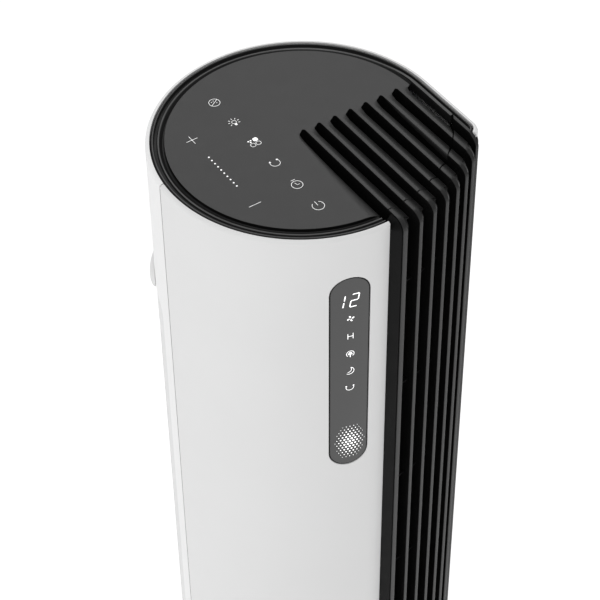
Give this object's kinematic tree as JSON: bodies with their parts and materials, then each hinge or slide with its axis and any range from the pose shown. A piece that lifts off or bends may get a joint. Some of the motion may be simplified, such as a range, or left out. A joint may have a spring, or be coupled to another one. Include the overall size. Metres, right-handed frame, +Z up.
{
  "type": "evaporative cooler",
  "caption": "Slim round tower air cooler: upright outlet grille at one front corner, flat touch top, tall lit window, rear intake door with wet pad, water tank, swivelling round base.",
  "frame": {"origin": "on the floor, under the four feet, on the axis that the tower swivels about, which is the centre of the round base", "axes": "+Z up; the air leaves the upright grille towards -Y and +X; the intake door and the water tank face +Y"},
  "size_m": [0.3, 0.3, 1],
  "materials": {
    "white_plastic": "smooth white moulding with a soft sheen",
    "dark_plastic": "finely grained dark grey",
    "black_plastic": "satin black",
    "smoked_window": "smoked glossy window over a lit display",
    "grey_plastic": "plain grey inner moulding",
    "steel": "bright drawn steel",
    "zinc": "zinc-plated",
    "rubber": "black rubber",
    "circuit_board": "green solder mask",
    "clear_plastic": "clear, slightly blue",
    "pad_fibre": "corrugated kraft paper, brown",
    "brass": "plain brass"
  },
  "bodies": {
    "base": {"base_shell": "white_plastic", "base_plate": "black_plastic", "base_ballast": "zinc", "turntable_race": "grey_plastic", "oscillation_motor": "steel", "mains_inlet": "black_plastic", "rubber_foot_1": "rubber", "rubber_foot_2": "rubber", "rubber_foot_3": "rubber", "rubber_foot_4": "rubber", "base_screw_1": "steel", "base_screw_2": "steel", "base_screw_3": "steel", "base_screw_4": "steel"},
    "pinion": {"oscillation_pinion": "grey_plastic"},
    "tower": {"tower_floor": "grey_plastic", "oscillation_gear": "grey_plastic", "hub_retainer": "steel", "front_shell": "white_plastic", "rear_shell": "white_plastic", "front_grille": "black_plastic", "top_cover": "dark_plastic", "top_rim": "black_plastic", "lower_liner": "black_plastic", "top_baffle": "black_plastic", "display_window": "smoked_window", "display_board": "circuit_board", "touch_board": "circuit_board", "control_board": "circuit_board", "ioniser_module": "black_plastic", "motor_deck": "grey_plastic", "blower_base_plate": "black_plastic", "blower_top_plate": "black_plastic", "blower_scroll": "black_plastic", "blower_tongue": "black_plastic", "blower_motor": "zinc", "motor_bush_1": "rubber", "motor_bush_2": "rubber", "motor_bush_3": "rubber", "upper_bearing": "brass", "water_tray": "grey_plastic", "drip_tray": "grey_plastic", "sump_tray": "grey_plastic", "port_seal": "rubber", "pump_body": "black_plastic", "riser_hose": "clear_plastic", "float_bracket": "grey_plastic", "float_pin": "steel"},
    "blower": {"blower_shaft": "steel", "blower_wheel": "black_plastic"},
    "impeller": {"pump_impeller": "white_plastic"},
    "float": {"float_arm": "white_plastic"},
    "tank": {"water_tank": "clear_plastic", "tank_front": "white_plastic", "level_window": "clear_plastic", "tank_valve": "brass"},
    "door": {"rear_door": "white_plastic", "door_grip": "white_plastic", "pad_frame": "grey_plastic", "cooling_pad": "pad_fibre"}
  },
  "joints": [
    {"name": "tower_oscillation", "type": "hinge", "parent": "base", "child": "tower", "pos_m": [0, 0, 0.05], "axis": [0, 0, 1], "range_deg": [-40, 40]},
    {"name": "pinion_spin", "type": "hinge", "parent": "base", "child": "pinion", "pos_m": [0, 0.048, 0.034], "axis": [0, 0, 1], "range_deg": [-125, 125]},
    {"name": "blower_spin", "type": "hinge", "parent": "tower", "child": "blower", "pos_m": [-0.006, 0.006, 0.6], "axis": [0, 0, 1], "continuous": true},
    {"name": "impeller_spin", "type": "hinge", "parent": "tower", "child": "impeller", "pos_m": [-0.032, -0.07, 0.072], "axis": [0, 0, 1], "continuous": true},
    {"name": "float_pivot", "type": "hinge", "parent": "tower", "child": "float", "pos_m": [0.034, -0.056, 0.14], "axis": [-1, 0, 0], "range_deg": [0, 28]},
    {"name": "tank_slide", "type": "slide", "parent": "tower", "child": "tank", "axis": [0, 1, 0], "range_m": [0, 0.17]},
    {"name": "door_release", "type": "slide", "parent": "tower", "child": "door", "axis": [0, 1, 0], "range_m": [0, 0.12]}
  ],
  "couplings": [
    {"joint": "pinion_spin", "follows": "tower_oscillation", "ratio": -3}
  ]
}
